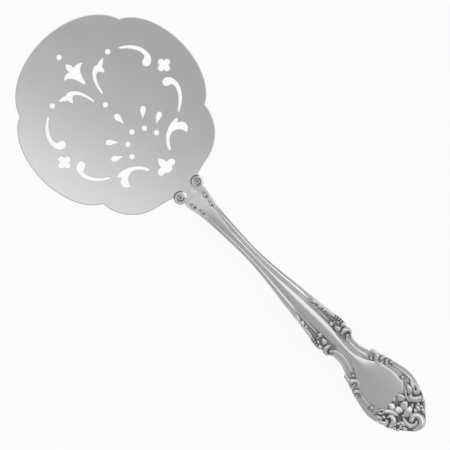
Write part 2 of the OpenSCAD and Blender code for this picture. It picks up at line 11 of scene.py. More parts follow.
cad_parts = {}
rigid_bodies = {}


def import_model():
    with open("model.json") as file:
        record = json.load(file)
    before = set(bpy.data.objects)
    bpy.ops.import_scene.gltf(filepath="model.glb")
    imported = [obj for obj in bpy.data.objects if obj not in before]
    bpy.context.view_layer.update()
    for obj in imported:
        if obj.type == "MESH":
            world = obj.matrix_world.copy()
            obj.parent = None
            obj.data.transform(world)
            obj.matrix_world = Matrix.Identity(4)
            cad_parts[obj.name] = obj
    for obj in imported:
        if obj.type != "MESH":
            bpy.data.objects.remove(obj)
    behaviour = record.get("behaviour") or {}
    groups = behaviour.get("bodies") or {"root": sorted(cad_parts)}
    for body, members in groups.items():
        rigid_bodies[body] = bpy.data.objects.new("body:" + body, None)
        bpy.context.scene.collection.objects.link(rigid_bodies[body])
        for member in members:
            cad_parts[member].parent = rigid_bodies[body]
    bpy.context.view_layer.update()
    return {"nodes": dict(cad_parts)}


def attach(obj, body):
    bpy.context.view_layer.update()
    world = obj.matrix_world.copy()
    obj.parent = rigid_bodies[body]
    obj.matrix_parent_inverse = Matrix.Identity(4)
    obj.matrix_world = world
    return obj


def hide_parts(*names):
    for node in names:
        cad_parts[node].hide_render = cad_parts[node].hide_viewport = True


for leftover in list(bpy.data.objects):
    bpy.data.objects.remove(leftover)
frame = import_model()
nodes = frame["nodes"]
scene = bpy.context.scene
MM = 0.001


# Small helpers for node trees

class Tree:
    """A node tree with short calls for its nodes and links."""

    def __init__(self, tree):
        self.tree = tree

    def add(self, kind, values=None, **settings):
        node = self.tree.nodes.new(kind)
        for name, value in settings.items():
            setattr(node, name, value)
        for key, value in (values or {}).items():
            if hasattr(value, "is_output"):
                self.tree.links.new(value, node.inputs[key])
            else:
                node.inputs[key].default_value = value
        return node

    def math(self, operation, a, b=0.0, c=0.0):
        return self.add("ShaderNodeMath", {0: a, 1: b, 2: c}, operation=operation).outputs[0]

    def vec(self, operation, a, b=(0, 0, 0), scale=1.0):
        second = {3: scale} if operation == "SCALE" else {1: b}
        return self.add("ShaderNodeVectorMath", {0: a, **second}, operation=operation).outputs["Vector"]

    def named(self, name, kind):
        return self.add("GeometryNodeInputNamedAttribute", {"Name": name}, data_type=kind).outputs[0]

    def store(self, geometry, name, value):
        return self.add("GeometryNodeStoreNamedAttribute", {0: geometry, "Name": name, "Value": value},
                        data_type="FLOAT_VECTOR").outputs[0]


def geometry_tree(name, sizes):
    """A geometry tree with a geometry in and out, a material, and named sizes."""
    tree = bpy.data.node_groups.new(name, "GeometryNodeTree")
    face = tree.interface
    face.new_socket("Geometry", in_out="INPUT", socket_type="NodeSocketGeometry")
    face.new_socket("Material", in_out="INPUT", socket_type="NodeSocketMaterial")
    for size, value in sizes.items():
        kind = "NodeSocketInt" if isinstance(value, int) else "NodeSocketFloat"
        face.new_socket(size, in_out="INPUT", socket_type=kind).default_value = value
    face.new_socket("Geometry", in_out="OUTPUT", socket_type="NodeSocketGeometry")
    t = Tree(tree)
    return t, t.add("NodeGroupInput").outputs


def close_tree(t, given, geometry):
    """The end of every geometry tree: instances made real, smooth faces and a material."""
    real = t.add("GeometryNodeRealizeInstances", {0: geometry}).outputs[0]
    smooth_faces = t.add("GeometryNodeSetShadeSmooth", {0: real}).outputs[0]
    dressed = t.add("GeometryNodeSetMaterial", {0: smooth_faces, "Material": given["Material"]}).outputs[0]
    t.add("NodeGroupOutput", {0: dressed})
    return t.tree


def moulding_tree():
    """A relief moulding swept along a path: a flat-bottomed round with an optional hollow along its top."""
    t, given = geometry_tree("Chased moulding", {"Sides": 20, "Hollow": 0.0, "Hollow Place": 0.0,
                                                 "Lean": 0.0, "Edge": 1.0, "Sink": 0.25})
    curve = t.add("GeometryNodeMeshToCurve", {0: given["Geometry"]}).outputs[0]
    spine = t.add("GeometryNodeInputPosition").outputs[0]
    ahead = t.add("GeometryNodeInputTangent").outputs[0]
    across = t.vec("NORMALIZE", t.vec("CROSS_PRODUCT", (0, 0, 1), ahead))
    curve = t.store(t.store(curve, "spine", spine), "across", across)
    ring = t.add("GeometryNodeCurvePrimitiveCircle", {"Resolution": given["Sides"], "Radius": 1.0}).outputs[0]
    ring = t.store(ring, "profile", spine)
    swept = t.add("GeometryNodeCurveToMesh", {"Curve": curve, "Profile Curve": ring,
                                              "Fill Caps": True}).outputs[0]
    profile = t.add("ShaderNodeSeparateXYZ", {0: t.named("profile", "FLOAT_VECTOR")}).outputs
    wide = t.math("POWER", t.math("ABSOLUTE", profile["X"]), given["Edge"])
    wide = t.math("MULTIPLY", wide, t.math("SIGN", profile["X"]))
    high = t.math("POWER", t.math("MAXIMUM", profile["Y"], 0.0), given["Edge"])
    low = t.math("MAXIMUM", profile["Y"], t.math("MULTIPLY", given["Sink"], -1.0))
    up = t.math("ADD", high, t.math("MINIMUM", low, 0.0))
    from_hollow = t.math("DIVIDE", t.math("SUBTRACT", profile["X"], given["Hollow Place"]), 0.34)
    dip = t.math("EXPONENT", t.math("MULTIPLY", t.math("MULTIPLY", from_hollow, from_hollow), -1.0))
    on_top = t.math("GREATER_THAN", profile["Y"], 0.01)
    dip = t.math("MULTIPLY", t.math("MULTIPLY", dip, given["Hollow"]), on_top)
    up = t.math("MULTIPLY", t.math("SUBTRACT", up, dip), t.named("rise", "FLOAT"))
    leaning = t.math("MULTIPLY", high, given["Lean"])
    side = t.math("MULTIPLY", t.math("SUBTRACT", wide, leaning), t.named("half_width", "FLOAT"))
    beside = t.vec("SCALE", t.named("across", "FLOAT_VECTOR"), scale=side)
    place = t.vec("ADD", t.named("spine", "FLOAT_VECTOR"), beside)
    place = t.vec("ADD", place, t.add("ShaderNodeCombineXYZ", {"Z": up}).outputs[0])
    shaped = t.add("GeometryNodeSetPosition", {0: swept, "Position": place}).outputs[0]
    return close_tree(t, given, shaped)


def petal_tree():
    """A petal, leaflet or bead on every point of a mesh, each with its own turn, pitch and size."""
    t, given = geometry_tree("Chased petals",
                             {"Segments": 16, "Rings": 11, "Swell": 0.0, "Crease": 0.0, "Cup": 0.0})
    ball = t.add("GeometryNodeMeshUVSphere", {"Segments": given["Segments"], "Rings": given["Rings"],
                                              "Radius": 1.0})
    spot = t.add("ShaderNodeSeparateXYZ", {0: t.add("GeometryNodeInputPosition").outputs[0]}).outputs
    reach = t.math("MULTIPLY_ADD", spot["Z"], 0.5, 0.5)
    swell = t.math("MULTIPLY_ADD", spot["Z"], given["Swell"], 1.0)
    wide = t.math("MULTIPLY", t.math("MULTIPLY", spot["X"], swell), 0.5)
    fold = t.math("DIVIDE", spot["X"], 0.3)
    fold = t.math("EXPONENT", t.math("MULTIPLY", t.math("MULTIPLY", fold, fold), -1.0))
    hollow = t.math("MULTIPLY", fold, given["Crease"])
    bowl = t.math("MULTIPLY", t.math("SUBTRACT", 1.0, t.math("MULTIPLY", spot["Z"], spot["Z"])), given["Cup"])
    upper = t.math("MULTIPLY", spot["Y"], t.math("SUBTRACT", 1.0, t.math("ADD", hollow, bowl)))
    lower = t.math("MULTIPLY", spot["Y"], 0.3)
    high = t.math("ADD", t.math("MAXIMUM", upper, 0.0), t.math("MINIMUM", lower, 0.0))
    form = t.add("ShaderNodeCombineXYZ", {"X": reach, "Y": wide, "Z": high}).outputs[0]
    petal = t.add("GeometryNodeSetPosition", {0: ball.outputs[0], "Position": form}).outputs[0]
    turn = t.add("FunctionNodeEulerToRotation", {0: t.named("turn", "FLOAT_VECTOR")}).outputs[0]
    put = t.add("GeometryNodeInstanceOnPoints",
                {"Points": given["Geometry"], "Instance": petal, "Rotation": turn,
                 "Scale": t.named("size", "FLOAT_VECTOR")}).outputs[0]
    return close_tree(t, given, put)


def run_tree(tree, mesh, material, sizes):
    """Evaluates a tree on a mesh and gives back a plain mesh."""
    holder = bpy.data.objects.new("holder", mesh)
    scene.collection.objects.link(holder)
    modifier = holder.modifiers.new("make", "NODES")
    modifier.node_group = tree
    given = {"Material": material, **sizes}
    for item in tree.interface.items_tree:
        if item.in_out == "INPUT" and item.name in given:
            modifier[item.identifier] = given[item.name]
    seen = holder.evaluated_get(bpy.context.evaluated_depsgraph_get())
    made = bpy.data.meshes.new_from_object(seen)
    holder.modifiers.remove(modifier)
    bpy.data.objects.remove(holder)
    return made


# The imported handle's rings, which every ornament is set out from

RING_POINTS = 15
CROWN, FOOT, RIM = 7, 10, 12
NECK_LIFT = 0.05


def handle_rings():
    """The handle's cross sections in mm, each from its lower left edge over the crown to the right."""
    apart, near = 0.02, 0.002
    co = np.array([v.co[:] for v in nodes["handle"].data.vertices]) / MM
    co = co[np.argsort(co[:, 0])]
    cuts = np.where(np.diff(co[:, 0]) > apart)[0] + 1
    found = []
    for group in np.split(co, cuts):
        points = np.unique(np.round(group, 3), axis=0)
        top = points[:, 2].max()
        points = points[(np.abs(points[:, 1]) > near) | (points[:, 2] > top - near)]
        middle = (points[:, 2].min() + top) / 2
        angle = np.arctan2(points[:, 2] - middle, np.abs(points[:, 1]))
        on_left, on_right = points[:, 1] < -near, points[:, 1] > near
        left = points[on_left][np.argsort(angle[on_left])]
        right = points[on_right][np.argsort(-angle[on_right])]
        crown = points[np.abs(points[:, 1]) <= near][:1]
        ring = np.vstack([left, crown, right])
        if len(ring) == RING_POINTS:
            found.append(ring)
    return np.array(found)


rings = handle_rings()
ring_x = rings[:, CROWN, 0]


def smooth(xs, ys, x):
    """A smooth curve through points that never overshoots them."""
    xs, ys, x = np.asarray(xs, float), np.asarray(ys, float), np.asarray(x, float)
    gap = np.diff(xs)
    secant = np.diff(ys) / gap
    product, total = secant[1:] * secant[:-1], secant[1:] + secant[:-1]
    inner = np.where(product > 0, 2 * product / np.where(total == 0, 1, total), 0)
    slope = np.concatenate([[secant[0]], inner, [secant[-1]]])
    i = np.clip(np.searchsorted(xs, x) - 1, 0, len(gap) - 1)
    t = np.clip((x - xs[i]) / gap[i], 0, 1)
    u = 1 - t
    return (ys[i] * u * u * (1 + 2 * t) + ys[i + 1] * t * t * (3 - 2 * t)
            + gap[i] * t * u * (slope[i] * u - slope[i + 1] * t))


def half_w(x):
    return smooth(ring_x, rings[:, RIM, 1], x)


def field_w(x):
    return smooth(ring_x, rings[:, FOOT, 1], x)


def neck_share(x, start=42.2, length=23):
    """How far the handle has risen from the blade's face to its own height, from 0 to 1."""
    t = np.clip((np.asarray(x) - start) / length, 0, 1)
    return t * t * (3 - 2 * t)


def ledge(x):
    """The height that the ornament is seated on, which sinks to the blade's face at the neck."""
    low = dish_high + NECK_LIFT + dish_rise * np.asarray(x) ** 2
    return low + (smooth(ring_x, rings[:, FOOT, 2], x) - low) * neck_share(x)


# Materials

def wear_group():
    """Fine wear shared by every silver surface: cloudy tone, hairline scratches and fine grain."""
    tree = bpy.data.node_groups.new("Silver wear", "ShaderNodeTree")
    face = tree.interface
    face.new_socket("Vector", in_out="INPUT", socket_type="NodeSocketVector")
    for name, value in (("Cloud Scale", 90.0), ("Scratch Scale", 900.0)):
        face.new_socket(name, in_out="INPUT", socket_type="NodeSocketFloat").default_value = value
    for name in ("Cloud", "Scratches", "Grain"):
        face.new_socket(name, in_out="OUTPUT", socket_type="NodeSocketFloat")
    t = Tree(tree)
    given = t.add("NodeGroupInput").outputs
    cloud = t.add("ShaderNodeTexNoise", {"Vector": given["Vector"], "Scale": given["Cloud Scale"],
                                         "Detail": 5.0, "Roughness": 0.6}).outputs[0]
    coarse = t.math("MULTIPLY", given["Scratch Scale"], 0.16)
    marks = None
    for turn, stretch in ((0.4, 26.0), (1.3, 34.0), (2.3, 22.0)):
        mapped = t.add("ShaderNodeMapping", {"Vector": given["Vector"], "Rotation": (0, 0, turn),
                                             "Scale": (1.0, stretch, 1.0)}).outputs[0]
        streak = t.add("ShaderNodeTexNoise", {"Vector": mapped, "Scale": coarse, "Detail": 2.0}).outputs[0]
        line = t.add("ShaderNodeMapRange", {"Value": streak, "From Min": 0.66, "From Max": 0.74}).outputs[0]
        marks = line if marks is None else t.math("MAXIMUM", marks, line)
    grain = t.add("ShaderNodeTexNoise", {"Vector": given["Vector"], "Scale": given["Scratch Scale"],
                                         "Detail": 3.0}).outputs[0]
    t.add("NodeGroupOutput", {"Cloud": cloud, "Scratches": marks, "Grain": grain})
    return tree


def empty_material(name):
    material = bpy.data.materials.new(name)
    material.use_nodes = True
    material.node_tree.nodes.clear()
    return material, Tree(material.node_tree)


def silver(name, bright, dark, rough, wear, patina_and_shade_range):
    """Satin silver with hairline wear, darkened by the recess attribute: oxide patina in the hollows together
    with painted shade.
    """
    material, t = empty_material(name)
    where = t.add("ShaderNodeTexCoord").outputs["Object"]
    marks = t.add("ShaderNodeGroup", node_tree=wear)
    t.tree.links.new(where, marks.inputs["Vector"])
    recess = t.add("ShaderNodeAttribute", attribute_name="recess").outputs["Fac"]
    # Painted shade: the recess value darkens the base colour towards the dark colour, as patina in hollows
    # and as shade that falls there.
    shade_and_patina = t.math("MULTIPLY_ADD", t.math("SUBTRACT", marks.outputs["Cloud"], 0.5), 0.1, recess)
    mask = t.add("ShaderNodeMapRange", {"Value": shade_and_patina, "From Min": patina_and_shade_range[0], "From Max": patina_and_shade_range[1]},
                 interpolation_type="SMOOTHSTEP").outputs[0]
    dull = tuple(0.95 * c for c in bright) + (1,)
    clean = tuple(min(1, 1.03 * c) for c in bright) + (1,)
    tone = t.add("ShaderNodeMix", {"Factor": marks.outputs["Cloud"], "A": dull, "B": clean}, data_type="RGBA")
    patina_and_shade_colour = t.add("ShaderNodeMix", {"Factor": mask, "A": tone.outputs["Result"], "B": tuple(dark) + (1,)},
                  data_type="RGBA")
    gloss = t.math("MULTIPLY_ADD", marks.outputs["Cloud"], 0.06, rough - 0.03)
    gloss = t.math("MULTIPLY_ADD", marks.outputs["Scratches"], 0.02, gloss)
    gloss = t.math("MULTIPLY_ADD", mask, 0.25, gloss)
    height = t.math("MULTIPLY_ADD", marks.outputs["Scratches"], -0.15, marks.outputs["Grain"])
    bump = t.add("ShaderNodeBump", {"Strength": 0.03, "Distance": 0.00004, "Height": height}).outputs[0]
    shader = t.add("ShaderNodeBsdfPrincipled", {"Base Color": patina_and_shade_colour.outputs["Result"], "Metallic": 1.0,
                                                "Roughness": gloss, "Normal": bump})
    t.add("ShaderNodeOutputMaterial", {"Surface": shader.outputs[0]})
    return material


wear = wear_group()
# The dark colours stand for oxide patina in hollows and for painted shade in recesses.
satin = silver("satin silver", (0.80, 0.795, 0.785), (0.12, 0.118, 0.114), 0.28, wear, (0.25, 0.85))
chased = silver("chased silver", (0.86, 0.855, 0.845), (0.09, 0.088, 0.085), 0.25, wear, (0.28, 0.8))


# Meshes

def mesh_of(name, points, faces, material):
    mesh = bpy.data.meshes.new(name)
    mesh.from_pydata([tuple(p) for p in points], [], faces)
    mesh.materials.append(material)
    mesh.polygons.foreach_set("use_smooth", [True] * len(mesh.polygons))
    mesh.update()
    return mesh


def gathered(parts):
    """The points and faces of several meshes as one list each."""
    points, faces = [], []
    for part in parts:
        start = len(points)
        points += [v.co[:] for v in part.vertices]
        faces += [tuple(start + i for i in polygon.vertices) for polygon in part.polygons]
    return points, faces


def piece_of(name, mesh, node):
    """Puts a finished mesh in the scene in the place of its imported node."""
    piece = bpy.data.objects.new(name, mesh)
    scene.collection.objects.link(piece)
    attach(piece, "root")
    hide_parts(node)


# Blade

def rim_loops():
    """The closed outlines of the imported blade's face, in mm, the outer one first."""
    facing_up, lowest, fewest = 0.7, 1.0, 5
    bm = bmesh.new()
    bm.from_mesh(nodes["blade"].data)
    bmesh.ops.remove_doubles(bm, verts=bm.verts, dist=1e-6)
    bm.normal_update()
    rim = {}
    for edge in bm.edges:
        up = [f.normal.z > facing_up for f in edge.link_faces]
        if len(up) == 2 and up[0] != up[1]:
            a, b = (v.co / MM for v in edge.verts)
            if min(a.z, b.z) < lowest:
                continue
            for p, q in ((a, b), (b, a)):
                rim.setdefault((round(p.x, 3), round(p.y, 3)), []).append((round(q.x, 3), round(q.y, 3)))
    bm.free()
    loops, seen = [], set()
    for start in rim:
        if start in seen:
            continue
        loop, here, before = [], start, None
        while here not in seen:
            seen.add(here)
            loop.append(here)
            onward = [p for p in rim[here] if p != before and p not in seen]
            if not onward:
                break
            before, here = here, onward[0]
        if len(loop) > fewest:
            loops.append(np.array(loop))
    loops.sort(key=lambda loop: -np.ptp(loop[:, 0]))
    return loops


def turned(loop, counter_clockwise):
    x, y = loop[:, 0], loop[:, 1]
    area = np.sum(x * np.roll(y, -1) - np.roll(x, -1) * y)
    return loop if (area > 0) == counter_clockwise else loop[::-1]


def between(a, b, from_a, to_b, length, t):
    """A place on the smooth curve from one point to the next, by their tangents."""
    return (a * (2 * t ** 3 - 3 * t ** 2 + 1) + b * (3 * t ** 2 - 2 * t ** 3)
            + length * (from_a * (t ** 3 - 2 * t ** 2 + t) + to_b * (t ** 3 - t ** 2)))


def resampled(loop, step):
    """Evenly spaced points on a smooth closed curve through a loop, which keeps the loop's sharp corners."""
    away = np.roll(loop, -1, axis=0) - loop
    away = away / np.linalg.norm(away, axis=1)[:, None]
    bend = np.sum(away * np.roll(away, 1, axis=0), axis=1)
    sharp = math.cos(math.radians(32))
    corner = bend < sharp
    n = len(loop)
    tangent = np.roll(loop, -1, axis=0) - np.roll(loop, 1, axis=0)
    tangent = tangent / np.maximum(np.linalg.norm(tangent, axis=1), 1e-9)[:, None]
    points = []
    for i in range(n):
        a, b = loop[i], loop[(i + 1) % n]
        length = np.linalg.norm(b - a)
        straight = (b - a) / length
        ta = straight if corner[i] else tangent[i]
        tb = straight if corner[(i + 1) % n] else tangent[(i + 1) % n]
        count = max(1, int(round(length / step)))
        points += [between(a, b, ta, tb, length, k / count) for k in range(count)]
    points = np.array(points)
    keep = np.linalg.norm(np.roll(points, -1, axis=0) - points, axis=1) > step * 0.25
    return points[keep]


def inset(loop, distance):
    """A loop moved in to the metal on its left."""
    ahead = np.roll(loop, -1, axis=0) - loop
    ahead = ahead / np.linalg.norm(ahead, axis=1)[:, None]
    before = np.roll(ahead, 1, axis=0)
    normal = np.stack([-(ahead + before)[:, 1], (ahead + before)[:, 0]], axis=1)
    normal = normal / np.maximum(np.linalg.norm(normal, axis=1), 0.4)[:, None]
    return loop + normal * distance


def within(loop, p):
    """Whether a point lies inside a loop."""
    x, y = loop[:, 0], loop[:, 1]
    x2, y2 = np.roll(x, -1), np.roll(y, -1)
    cut = (x2 - x) * (p[1] - y) / np.where(y2 == y, 1e-12, y2 - y) + x
    return np.count_nonzero(((y > p[1]) != (y2 > p[1])) & (p[0] < cut)) % 2 == 1


def blade_levels():
    """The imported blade's dish in mm: its rise by distance squared, and its two faces at the centre."""
    co = np.array([v.co[:] for v in nodes["blade"].data.vertices]) / MM
    r2 = co[:, 0] ** 2 + co[:, 1] ** 2
    far = r2 > 20 ** 2
    rise = np.polyfit(r2[far], co[far, 2], 1)[0]
    over = co[:, 2] - rise * r2
    return rise, over[far].max(), over[far].min()


dish_rise, dish_high, dish_low = blade_levels()


def face_z(p):
    return dish_high + dish_rise * np.sum(np.asarray(p) ** 2, axis=-1)


def back_z(p):
    return np.maximum(0.0, dish_low + dish_rise * np.sum(np.asarray(p) ** 2, axis=-1))


def blade_mesh():
    """The blade from its packed outlines: rounded rims, and a fine even net over the dish between them."""
    insets, drops = zip((0.0, 0.5), (0.02, 0.25), (0.06, 0.11), (0.12, 0.03), (0.2, 0.0), (0.34, 0.0))
    points, faces, inner = [], [], []
    for k, loop in enumerate(rim_loops()):
        spacing, size = (0.4, 1.3) if k == 0 else (0.16, 0.6)
        loop = resampled(turned(loop, k == 0), spacing)
        outline = [inset(loop, distance * size) for distance in insets]
        rows = []
        for line, drop in zip(outline[::-1], drops[::-1]):
            rows.append(np.column_stack([line, face_z(line) - drop]))
        for line, drop in zip(outline[1:], drops[1:]):
            rows.append(np.column_stack([line, back_z(line) + drop]))
        start, n = len(points), len(loop)
        for row in rows:
            points.extend(row)
        for r in range(len(rows) - 1):
            for i in range(n):
                a, b = start + r * n + i, start + r * n + (i + 1) % n
                faces.append((a, a + n, b + n, b))
        inner.append((outline[-1], start, start + (len(rows) - 1) * n))
    border, edges, place = [], [], []
    for loop, top, under in inner:
        first, n = len(place), len(loop)
        border += [Vector(p) for p in loop]
        edges += [(first + i, first + (i + 1) % n) for i in range(n)]
        place += [(top + i, under + i) for i in range(n)]
    step, clear = 0.9, 0.55
    x_range, y_range = (-37, 47), (-36, 36)
    rim = np.array([p[:] for p in border])
    grid = np.array([(x + (step / 2 if k % 2 else 0), y)
                     for k, y in enumerate(np.arange(*y_range, step * 0.87))
                     for x in np.arange(*x_range, step)])
    gap = np.min(np.linalg.norm(grid[:, None, :] - rim[None, ::2, :], axis=2), axis=1)
    grid = grid[gap > clear]
    joined = delaunay_2d_cdt(border + [Vector(p) for p in grid], edges, [], 0, 1e-7)
    flat, triangles, origins = joined[0], joined[2], joined[3]
    made = {}

    def corner(new, side):
        source = origins[new][0] if origins[new] else len(place)
        if source < len(place):
            return place[source][side]
        if (new, side) not in made:
            p = np.array(flat[new][:])
            points.append((p[0], p[1], face_z(p) if side == 0 else back_z(p)))
            made[(new, side)] = len(points) - 1
        return made[(new, side)]

    for triangle in triangles:
        middle = np.mean([flat[i][:] for i in triangle], axis=0)
        if not within(inner[0][0], middle) or any(within(hole[0], middle) for hole in inner[1:]):
            continue
        faces.append(tuple(corner(i, 0) for i in triangle))
        faces.append(tuple(corner(i, 1) for i in reversed(triangle)))
    return mesh_of("blade_body", np.array(points) * MM, faces, satin)


# Handle

# Place, half width and height of the field where it is carried on under the blossom
FIELD_END = ((140.25, 7.19, 0.81), (141.6, 7.05, 0.76), (143.0, 6.95, 0.7), (144.3, 6.5, 0.64),
             (145.7, 5.4, 0.56), (147.0, 4.0, 0.45), (148.4, 2.2, 0.28), (149.8, 0.4, 0.05))
TANG_END, SHANK_START = 46.2, 70


def plate_w(x):
    """Half the width of the field as it is drawn, which runs on under the blossom to a rounded end."""
    ends, widths, _ = zip(*FIELD_END)
    x = np.asarray(x)
    return np.where((x > ends[0]) & (x < ends[-1]), smooth(ends, widths, x), field_w(x))


def full_field(packed):
    """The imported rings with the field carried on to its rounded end, as a crowned plate with a low step."""
    drawn = packed.copy()
    ends, _, crowns = zip(*FIELD_END)
    for ring in drawn:
        x = ring[CROWN, 0]
        if not ends[0] < x < ends[-1]:
            continue
        foot, crown = float(plate_w(x)), float(smooth(ends, crowns, x))
        for k, out, up in ((CROWN, 0.0, 1.0), (CROWN + 1, 0.62, 0.86), (CROWN + 2, 0.984, 0.45),
                           (FOOT, 1.0, 0.0)):
            for mirrored, side in ((k, 1), (RING_POINTS - 1 - k, -1)):
                ring[mirrored, 1:] = side * foot * out, ring[FOOT + 1, 2] + crown * up
    return drawn


def run_in(ring, x, x_front, x_heel):
    """Lays a ring of the neck on the blade, with its rim sunk in to the metal as far as the heel."""
    sunk = 0.3
    skin = face_z(np.column_stack([np.full(RING_POINTS, x), ring[:, 0]]))
    ring[5:10, 1] = ring[4, 1] + (ring[5:10, 1] - ring[4, 1]) * (0.15 + 0.85 * neck_share(x, 44, 20))
    soft = skin + NECK_LIFT + (ring[:, 1] - skin - NECK_LIFT) * neck_share(x)
    ring[2:13, 1] = soft[2:13]
    if x < x_heel:
        ring[:, 1] -= 0.1 * (x_heel - x) / (x_heel - x_front)
        ring[[0, 1, 2, 12, 13, 14], 1] = skin[[0, 1, 2, 12, 13, 14]] - sunk
        ring[[3, 11], 1] = skin[[3, 11]] - 0.18
        ring[[4, 10], 1] = skin[[4, 10]] - 0.08
        ring[[5, 9], 1] -= 0.03
    elif x < TANG_END:
        t = np.clip((x - x_heel) / 1.2, 0, 1)
        low = skin[0] - sunk + (back_z(np.array([x, 0.0])) - 0.05 * t - skin[0] + sunk) * t
        ring[[0, 14], 1] = low
        ring[[1, 13], 1] = low + 0.5 * (ring[2, 1] - low)
    elif x < SHANK_START:
        ring[[1, 13], 1] = np.minimum(ring[[1, 13], 1], (ring[0, 1] + ring[2, 1]) / 2)


def ridge(ring, x, end=150, fade=16):
    """Pitches the field to a soft ridge along its crown, which fades out towards the crest."""
    share = np.clip((end - x) / fade, 0, 1)
    slope = np.interp(x, (84, 100), (0.27, 0.19)) * ring[8, 0] - (ring[7, 1] - ring[8, 1])
    for k in (6, 8):
        ring[k, 1] -= share * np.clip(slope, 0, 0.2 * (ring[7, 1] - ring[4, 1]))


def mark_creases(mesh, xs, count, split):
    """Keeps the handle's long edges crisp under subdivision, but softer on the neck."""
    neck_end, on_neck = 54, 0.3
    hard = {0: 0.35, 2: 0.2, 3: 0.45, 4 + split: 0.6, 5 + split: 0.2}
    hard.update({count - 1 - k: value for k, value in hard.items()})
    values = np.zeros(len(mesh.edges), np.float32)
    for edge in mesh.edges:
        a, b = sorted(edge.vertices)
        if b - a != count:
            continue
        x, k = xs[a // count], a % count
        values[edge.index] = hard.get(k, 0.0)
        if k == count // 2:
            values[edge.index] = 0.12 * np.clip((136 - x) / 16, 0, 1) * np.clip((x - 56) / 12, 0, 1)
        elif x < neck_end:
            values[edge.index] *= on_neck
    mesh.attributes.new("crease_edge", "FLOAT", "EDGE").data.foreach_set("value", values)


def handle_mesh():
    """The handle from its packed rings, run in to the blade at the neck and rounded by subdivision."""
    tip_round, heel_w = 1.1, 4
    x_front, x_tip = ring_x[0], ring_x[-1]
    x_heel = ring_x[np.where(rings[:, RIM, 1] > heel_w)[0][0]]
    xs = np.concatenate([np.linspace(x_front, x_heel - 0.6, 9), np.linspace(x_heel - 0.45, x_heel + 0.6, 6),
                         np.linspace(x_heel + 1.2, x_tip - 1.4, 150),
                         x_tip - tip_round * (1 - np.sin(np.linspace(0.05, 1, 7) * math.pi / 2))])
    drawn = full_field(rings)
    columns = np.stack([np.stack([smooth(ring_x, drawn[:, k, axis], xs) for axis in (1, 2)], axis=1)
                        for k in range(RING_POINTS)], axis=1)
    for x, ring in zip(xs, columns):
        run_in(ring, x, x_front, x_heel)
        ridge(ring, x)
        over = np.clip((x - x_tip + tip_round) / tip_round, 0, 1)
        ring[:, 0] *= math.sqrt(1 - 0.96 * over * over)
    split = 5
    share = np.arange(1, split + 1)[:, None] / (split + 1)
    full = []
    for ring in columns:
        near, far = [ring[a] + (ring[b] - ring[a]) * share for a, b in ((3, 4), (10, 11))]
        full.append(np.vstack([ring[:4], near, ring[4:11], far, ring[11:]]))
    count = len(full[0])
    points = [(x * MM, p[0] * MM, p[1] * MM) for x, ring in zip(xs, full) for p in ring]
    n, faces = len(xs), []
    for i in range(n - 1):
        for k in range(count):
            j = (k + 1) % count
            faces.append((i * count + k, (i + 1) * count + k, (i + 1) * count + j, i * count + j))
    faces.append(tuple(range(count)))
    faces.append(tuple((n - 1) * count + k for k in range(count - 1, -1, -1)))
    mesh = mesh_of("handle_body", points, faces, satin)
    mark_creases(mesh, xs, count, split)
    body = bpy.data.objects.new("handle_smooth", mesh)
    scene.collection.objects.link(body)
    rounder = body.modifiers.new("round", "SUBSURF")
    rounder.levels = rounder.render_levels = 2
    made = bpy.data.meshes.new_from_object(body.evaluated_get(bpy.context.evaluated_depsgraph_get()))
    bpy.data.objects.remove(body)
    return made


# Ornaments: paths and petals are set out in mm for the right hand side and mirrored for the left

moulding = moulding_tree()
petals = petal_tree()


class Ornament:
    """Collects the mouldings and petals of one piece, then joins them in to one mesh."""

    def __init__(self, name, mirror=False):
        self.name, self.side, self.parts = name, -1 if mirror else 1, []
        self.seat = lambda p: ledge(p[:, 0])

    def sweep(self, path, half_width, rise, hollow=0.0, place=0.0, lean=0.0, edge=1.0, sides=18):
        """A moulding along a path; widths and rises are values, or pairs of place on the path and value."""
        path = np.asarray(path, float)
        gap = np.concatenate([[0], np.cumsum(np.linalg.norm(np.diff(path, axis=0), axis=1))])
        along = gap / gap[-1]
        spots = np.column_stack([path[:, 0], path[:, 1] * self.side, self.seat(path)]) * MM
        mesh = bpy.data.meshes.new("path")
        mesh.from_pydata([tuple(p) for p in spots], [(i, i + 1) for i in range(len(spots) - 1)], [])
        for name, given in (("half_width", half_width), ("rise", rise)):
            values = given if np.isscalar(given) else smooth(*zip(*given), along)
            layer = mesh.attributes.new(name, "FLOAT", "POINT")
            spread = np.broadcast_to(np.asarray(values, np.float32) * MM, (len(spots),))
            layer.data.foreach_set("value", spread.copy())
        sizes = {"Sides": sides, "Hollow": hollow, "Hollow Place": place * self.side,
                 "Lean": lean * self.side, "Edge": edge}
        self.parts.append(run_tree(moulding, mesh, chased, sizes))

    def bloom(self, spots, swell=0.0, crease=0.0, cup=0.0, segments=14, rounds=9):
        """Petals: each is x, y, heading in degrees, length, width, height and pitch in degrees."""
        spots = np.array(spots, float)
        z = self.seat(spots[:, :2])
        mesh = bpy.data.meshes.new("spots")
        places = np.column_stack([spots[:, 0], spots[:, 1] * self.side, z]) * MM
        mesh.from_pydata([tuple(p) for p in places], [], [])
        pitch, heading = -np.radians(spots[:, 6]), np.radians(spots[:, 2]) * self.side
        turn = np.column_stack([np.zeros(len(spots)), pitch, heading])
        for name, values in (("turn", turn), ("size", spots[:, 3:6] * MM)):
            layer = mesh.attributes.new(name, "FLOAT_VECTOR", "POINT")
            layer.data.foreach_set("vector", values.astype(np.float32).ravel())
        sizes = {"Segments": segments, "Rings": rounds, "Swell": swell, "Crease": crease, "Cup": cup}
        self.parts.append(run_tree(petals, mesh, chased, sizes))

    def bead(self, x, y, radius, height):
        self.bloom([(x - radius, y, 0, 2 * radius, 2 * radius, height, 0)], segments=18, rounds=12)

    def joined(self):
        mesh = mesh_of(self.name, *gathered(self.parts), chased)
        bm = bmesh.new()
        bm.from_mesh(mesh)
        bmesh.ops.remove_doubles(bm, verts=bm.verts, dist=1e-7)
        bmesh.ops.recalc_face_normals(bm, faces=bm.faces)
        bm.to_mesh(mesh)
        bm.free()
        return mesh


